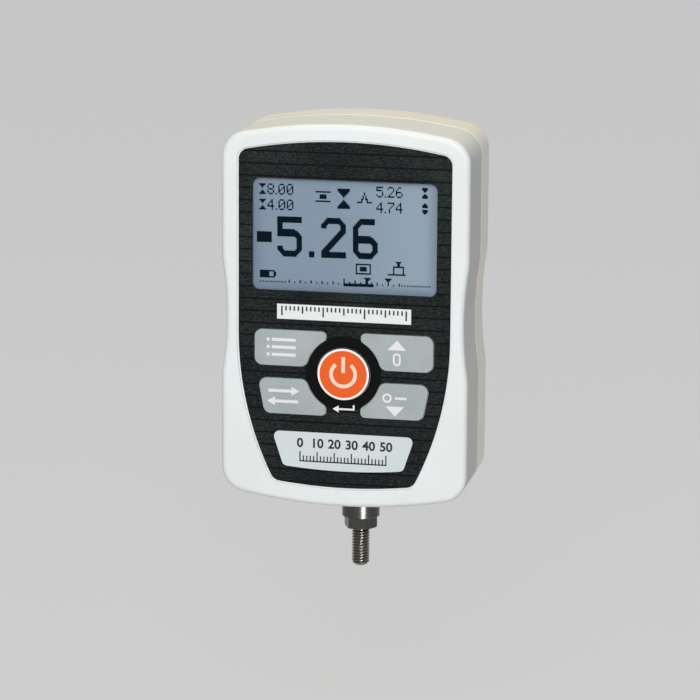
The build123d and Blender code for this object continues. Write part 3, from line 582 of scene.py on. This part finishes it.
def numeral(figures, size, x, z, face, depth):
    """Figures of the built-in sans-serif face, extruded by a depth in front of a face."""
    outline = bpy.data.curves.new(figures, "FONT")
    outline.body = figures
    outline.size = size
    outline.align_x = "CENTER"
    outline.align_y = "CENTER"
    outline.extrude = depth / 2
    outline.offset = size * 0.028
    outline.resolution_u = 5
    text = bpy.data.objects.new(figures, outline)
    bpy.context.collection.objects.link(text)
    bpy.context.view_layer.update()
    mesh = bpy.data.meshes.new_from_object(text)
    flat = np.empty(len(mesh.vertices) * 3)
    mesh.vertices.foreach_get("co", flat)
    flat = flat.reshape(-1, 3)
    points = np.stack([x + flat[:, 0], face - depth / 2 - flat[:, 2], z + flat[:, 1]], -1)
    faces = [list(polygon.vertices) for polygon in mesh.polygons]
    bpy.data.objects.remove(text)
    bpy.data.curves.remove(outline)
    bpy.data.meshes.remove(mesh)
    return points, faces


parts = []
for step in range(26):
    x = (step - 12.5) * scale_pitch
    length = 0.0026 if step % 5 == 0 else 0.0015
    parts.append(stroke([(x, scale_foot), (x, scale_foot + length)], scale_line, label_face, label_ink))
reach = 12.5 * scale_pitch + scale_line / 2
parts.append(stroke([(-reach, scale_foot), (reach, scale_foot)], scale_line, label_face, label_ink))
for step in range(6):
    x = (step * 5 - 12.5) * scale_pitch
    parts.append(numeral(str(step * 10), numeral_size, x, numeral_level, label_face, label_ink))
piece("label_scale", parts, black, "housing")

# Loading shaft: turned from stainless steel bar, its cylinder polished, with a hexagon for a spanner
# and a rolled thread that grips and hooks screw on to.
shaft_depth = -0.0066
# the steel is coloured far darker than bare steel: a painted dark reflection of shaded surroundings
steel_tone_painted_dark_reflection = (0.095, 0.093, 0.090, 1)
# the thread is a lighter grey-brown than the cylinder: a painted warm reflection
thread_tone_painted_warm_reflection = (0.22, 0.20, 0.178, 1)
shaft_top, groove_top, groove_bottom, shaft_shoulder = -0.0380, -0.0419, -0.0455, -0.0476
stem_radius, neck_radius, cylinder_radius = 0.0040, 0.0028, 0.0051
cylinder_end, hexagon_end, relief_end, shaft_end = -0.05955, -0.0625, -0.0632, -0.0731
hexagon_flats, hexagon_turn = 0.00794, -5.0
relief_radius, thread_radius, thread_root = 0.0020, 0.002413, 0.00190
thread_pitch, rings_per_turn = 0.000794, 14
crest_slope, crest_offset, tip_radius = 1.3, 0.12, 0.0016
bevel = 0.0003
around = 96

turn = math.radians(hexagon_turn) + np.linspace(0, 2 * math.pi, around, endpoint=False)
profile = [(shaft_top, stem_radius), (groove_top, stem_radius), (groove_top, neck_radius),
           (groove_bottom, neck_radius), (groove_bottom, stem_radius), (shaft_shoulder, stem_radius),
           (shaft_shoulder, cylinder_radius), (cylinder_end + bevel, cylinder_radius),
           (cylinder_end, cylinder_radius - bevel)]
plain = [(level, np.full(around, radius)) for level, radius in profile]
# the hexagon's radius grows from half its flats at the middle of a side to its corners
to_side = (turn - math.radians(hexagon_turn)) % (math.pi / 3) - math.pi / 6
hexagon = hexagon_flats / 2 / np.cos(to_side)
chamfered = np.minimum(hexagon, hexagon_flats / 2 + bevel)
plain += [(cylinder_end, hexagon), (hexagon_end + bevel, hexagon), (hexagon_end, chamfered),
          (hexagon_end, np.full(around, relief_radius)), (relief_end, np.full(around, relief_radius))]
# the thread's flanks rise and fall evenly along its helix, cut flat at crest and root, and are kept
# inside a cone at each end
level = np.linspace(relief_end, shaft_end, int((relief_end - shaft_end) / thread_pitch * rings_per_turn))
wave = np.abs((level[:, None] / thread_pitch - turn / (2 * math.pi)) % 1 * 2 - 1)
flank = thread_root + (thread_radius - thread_root) * np.clip(wave * crest_slope - crest_offset, 0, 1)
start = relief_radius + (relief_end - level)
tip = tip_radius + (level - shaft_end)
plain += list(zip(level, np.minimum(flank, np.minimum(start, tip)[:, None])))
rings = np.array([np.stack([radius * np.cos(turn), shaft_depth + radius * np.sin(turn),
                            np.full(around, level)], -1) for level, radius in plain])

# the lathe's feed leaves fine grooves round the bar, which stretch the lamps' reflections along it
steel, place = finish("turned steel", steel_tone_painted_dark_reflection, 0.2, Metallic=1.0)
grooves = place.stretched(1.0, 1.0, 40.0).noise(140.0, 2.0)
patches = place.noise(260.0, 3.0)
# from the relief down, the thread is coloured grey-brown: a painted warm reflection
thread_zone_painted_reflection = place.along(2).step(relief_end - 0.0002, relief_end + 0.0002)
feed(steel, Base_Color=thread_zone_painted_reflection.blend(thread_tone_painted_warm_reflection, patches.blend(steel_tone_painted_dark_reflection, (0.075, 0.072, 0.068, 1))),
     Roughness=patches * 0.14 + 0.20, Normal=grooves.relief(0.000006, 1.0))
shaft = piece("turned_shaft", [tube(rings)], steel, "shaft", True)
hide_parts("load_shaft")
dress(steel, "load_shaft", "overload_stop")

# Snap domes: one under each key, pressed from thin spring steel. A dome stands on the switch sheet
# inside its opening, and its crown goes flat as the key is pressed.
dome_radius, dome_crown, dome_skin = 0.0032, 0.0012, 0.00008

turn = np.linspace(0, 2 * math.pi, 48, endpoint=False)
spring, place = finish("spring steel", (0.62, 0.62, 0.60, 1), 0.25, Metallic=1.0)
feed(spring, Roughness=place.noise(3000.0, 3.0) * 0.25 + 0.15)
for name in ("menu", "zero", "data", "mode", "power"):
    low, high = (np.array(corner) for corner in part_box("dome_" + name))
    middle, foot = (low + high) / 2, high[1]
    # the skirt falls from the crown to the foot, steeper as it goes: 1 minus the reach to the power 1.6
    outside = np.linspace(dome_crown, dome_radius, 10)
    height = (high[1] - low[1]) * (1 - ((outside - dome_crown) / (dome_radius - dome_crown)) ** 1.6)
    underside = np.maximum(height - dome_skin, 0)
    reach = np.concatenate([outside - dome_skin, outside[::-1]])
    rise = np.concatenate([underside, height[::-1]])
    rings = np.stack([middle[0] + reach[:, None] * np.cos(turn), np.repeat(foot - rise[:, None], 48, 1),
                      middle[2] + reach[:, None] * np.sin(turn)], -1)
    dome = piece("snap_dome_" + name, [tube(rings)], spring, "housing", True)
    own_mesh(dome)
    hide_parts("dome_" + name)

# Pieces behind the front: key sheets, and the frame, glass and diffuser of the display.
clear, place = finish("key sheet film", (0.72, 0.74, 0.70, 1), 0.35)
tracks = place.node("TexChecker", None, {"Vector": place, "Scale": 420.0}, "Fac")
feed(clear, Base_Color=(tracks * place.noise(120.0)).blend((0.72, 0.74, 0.70, 1), (0.50, 0.52, 0.52, 1)),
     Roughness=place.noise(900.0) * 0.2 + 0.25)
dress(clear, "key_spacer", "keypad_circuit")
moulding, place = finish("black moulding", (0.018, 0.018, 0.020, 1), 0.5)
grain = place.noise(2500.0, 3.0)
feed(moulding, Base_Color=grain.blend((0.014, 0.014, 0.016, 1), (0.028, 0.028, 0.030, 1)),
     Roughness=grain * 0.25 + 0.4, Normal=grain.relief(0.00002, 0.4))
dress(moulding, "display_frame", "board_chips", "buzzer", "tail_socket", "power_jack")
glass, place = finish("polarised glass", (0.18, 0.22, 0.26, 1), 0.08, Coat_Weight=0.6)
feed(glass, Base_Color=place.noise(60.0).blend((0.17, 0.21, 0.25, 1), (0.20, 0.25, 0.30, 1)),
     Roughness=place.noise(800.0) * 0.08 + 0.05)
dress(glass, "display_glass")
diffuser, place = finish("diffuser", (0.74, 0.84, 0.92, 1), 0.4)
feed(diffuser, Base_Color=place.noise(200.0).blend((0.74, 0.84, 0.92, 1), (0.66, 0.78, 0.88, 1)),
     Roughness=place.noise(1500.0) * 0.2 + 0.3)
dress(diffuser, "backlight")

# Main board and its parts: green solder mask over a glass laminate, with copper tracks under it.
mask_green, mask_light = (0.012, 0.085, 0.035, 1), (0.022, 0.14, 0.055, 1)
laminate, place = finish("circuit board", mask_green, 0.35)
weave = place.node("TexBrick", None, {"Vector": place, "Scale": 260.0}, "Fac")
tracks = place.noise(330.0, 1.0).step(0.48, 0.52)
feed(laminate, Base_Color=(tracks * 0.7 + weave * 0.2).blend(mask_green, mask_light),
     Roughness=place.noise(1200.0) * 0.15 + 0.28, Normal=tracks.relief(0.00003, 0.5))
dress(laminate, "main_board")

# Connectors in the left side: tinned shells and zinc-plated posts.
tin, place = finish("tinned shell", (0.50, 0.50, 0.49, 1), 0.3, Metallic=1.0)
dull = place.noise(700.0, 3.0)
feed(tin, Base_Color=dull.blend((0.54, 0.54, 0.53, 1), (0.40, 0.40, 0.39, 1)), Roughness=dull * 0.3 + 0.18)
dress(tin, "io_connector", "usb_socket")
zinc, place = finish("zinc plate", (0.50, 0.50, 0.49, 1), 0.3, Metallic=1.0)
dull = place.noise(1100.0, 3.0)
feed(zinc, Base_Color=dull.blend((0.52, 0.52, 0.51, 1), (0.36, 0.36, 0.36, 1)), Roughness=dull * 0.3 + 0.2)
dress(zinc, "io_posts", "battery_strap", "joint_screws", "board_screws", "strap_screws", "cell_screws",
      "yoke_screws")

# Battery pack: cells in a shrink sleeve.
sleeve, place = finish("shrink sleeve", (0.015, 0.06, 0.16, 1), 0.25)
cells = place.along(2).maths("MULTIPLY", 590.0).maths("SINE")
feed(sleeve, Base_Color=place.noise(80.0).blend((0.012, 0.05, 0.14, 1), (0.022, 0.08, 0.20, 1)),
     Roughness=place.noise(700.0) * 0.2 + 0.18, Normal=cells.relief(0.0002, 0.4))
dress(sleeve, "battery_pack")

# Load cell: milled from aluminium bar; inserts in the back: machined steel.
milled, place = finish("milled aluminium", (0.62, 0.63, 0.64, 1), 0.35, Metallic=1.0)
feeds = place.stretched(1.0, 1.0, 40.0).noise(120.0, 2.0)
feed(milled, Base_Color=feeds.blend((0.66, 0.67, 0.68, 1), (0.54, 0.55, 0.56, 1)),
     Roughness=feeds * 0.25 + 0.22, Normal=feeds.relief(0.000004, 0.5))
dress(milled, "load_cell")
machined, place = finish("machined steel", (0.46, 0.46, 0.45, 1), 0.3, Metallic=1.0)
dull = place.noise(1400.0, 3.0)
feed(machined, Base_Color=dull.blend((0.48, 0.48, 0.47, 1), (0.36, 0.36, 0.35, 1)),
     Roughness=dull * 0.25 + 0.2)
dress(machined, "dowel_insert", "mount_inserts")

# Studio: a wide pale grey floor that runs out of sight, in a grey room. The room shows at its own
# tone to the camera and in gloss, and lights the object softly.
ground = -0.16
room_tone = (0.583, 0.586, 0.593, 1)
room_shade = (0.12, 0.115, 0.113, 1)
glow_strength, glow_share = 1.15, 0.8

lines = np.linspace(-6, 6, 13)
across, along = np.meshgrid(lines, lines, indexing="ij")
points = np.stack([across, along, np.full_like(across, ground)], -1).reshape(-1, 3)
tiles = np.arange(12)[:, None] * 13 + np.arange(12)
faces = np.stack([tiles, tiles + 13, tiles + 14, tiles + 1], -1).reshape(-1, 4)
mesh = bpy.data.meshes.new("floor")
mesh.from_pydata(points.tolist(), [], faces.tolist())
floor = bpy.data.objects.new("floor", mesh)
bpy.context.collection.objects.link(floor)
floor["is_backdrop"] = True
paper, place = finish("studio paper", room_tone, 0.9)
mesh.materials.append(paper)
shown = place.node("LightPath", None, None, "Is Camera Ray")
seen = shown.maths("MAXIMUM", Wire(shown.tree, shown.socket.node.outputs["Is Glossy Ray"]))
seen = seen.maths("MAXIMUM", Wire(shown.tree, shown.socket.node.outputs["Is Transmission Ray"]))
glow = place.node("Emission", None, {"Color": room_tone, "Strength": glow_strength})
shader = Wire(paper.node_tree, paper.node_tree.nodes["Principled BSDF"].outputs[0])
mixed = seen.node("MixShader", None, {0: seen * glow_share, 1: shader, 2: glow})
paper.node_tree.links.new(mixed.socket, paper.node_tree.nodes["Material Output"].inputs["Surface"])

room = bpy.data.worlds.new("room")
bpy.context.scene.world = room
room.use_nodes = True
tree = room.node_tree
backdrop = tree.nodes["Background"]
ray = tree.nodes.new("ShaderNodeLightPath")
shown = Wire(tree, ray.outputs["Is Camera Ray"])
for kind in ("Is Glossy Ray", "Is Transmission Ray"):
    shown = shown.maths("MAXIMUM", Wire(tree, ray.outputs[kind]))
tree.links.new(shown.blend(room_shade, room_tone).socket, backdrop.inputs["Color"])


def lamp(name, place, target, size, power, colour):
    """Soft rectangular lamp at a place, turned to a target."""
    light = bpy.data.lights.new(name, "AREA")
    light.shape = "RECTANGLE"
    light.size, light.size_y = size
    light.energy = power
    light.color = colour
    made = bpy.data.objects.new(name, light)
    bpy.context.collection.objects.link(made)
    made.location = place
    away = np.array(place) - np.array(target)
    made.rotation_euler = (math.atan2(math.hypot(away[0], away[1]), away[2]), 0,
                           math.atan2(away[0], -away[1]))
    return made


lamp("front lamp", (0.15, -1.02, 0.42), (0, 0, 0), (0.35, 0.45), 9.7, (0.98, 1.0, 1.0))
lamp("top lamp", (-0.1, 0.1, 0.9), (0, 0, 0), (0.6, 0.6), 4.0, (1.0, 0.86, 0.60))
strip_lamp = lamp("strip lamp", (0.106, -0.227, -0.12), (0, shaft_depth, -0.055), (0.07, 0.06), 0.45,
                  (0.93, 0.98, 1.0))
# the strip lamp is flagged off everything but the bright steel
bright_steel = bpy.data.collections.new("bright steel")
bright_steel.objects.link(shaft)
strip_lamp.light_linking.receiver_collection = bright_steel
lamp("right lamp", (0.9, 0.5, 0.25), (0, 0, 0), (0.4, 0.7), 0.05, (1.0, 0.93, 0.84))

# Camera: a long lens, above the object and to its right.
camera = bpy.data.objects.new("camera", bpy.data.cameras.new("camera"))
bpy.context.collection.objects.link(camera)
bpy.context.scene.camera = camera
camera.data.lens = 173.86
camera.data.sensor_width = 36.0
camera.matrix_world = Matrix((
    (0.980214, -0.048430, 0.191924, 0.17081),
    (0.197820, 0.205897, -0.958370, -0.87616),
    (0.006898, 0.977374, 0.211404, 0.17792),
    (0, 0, 0, 1),
))
bpy.context.scene.view_settings.view_transform = "Standard"

low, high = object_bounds()
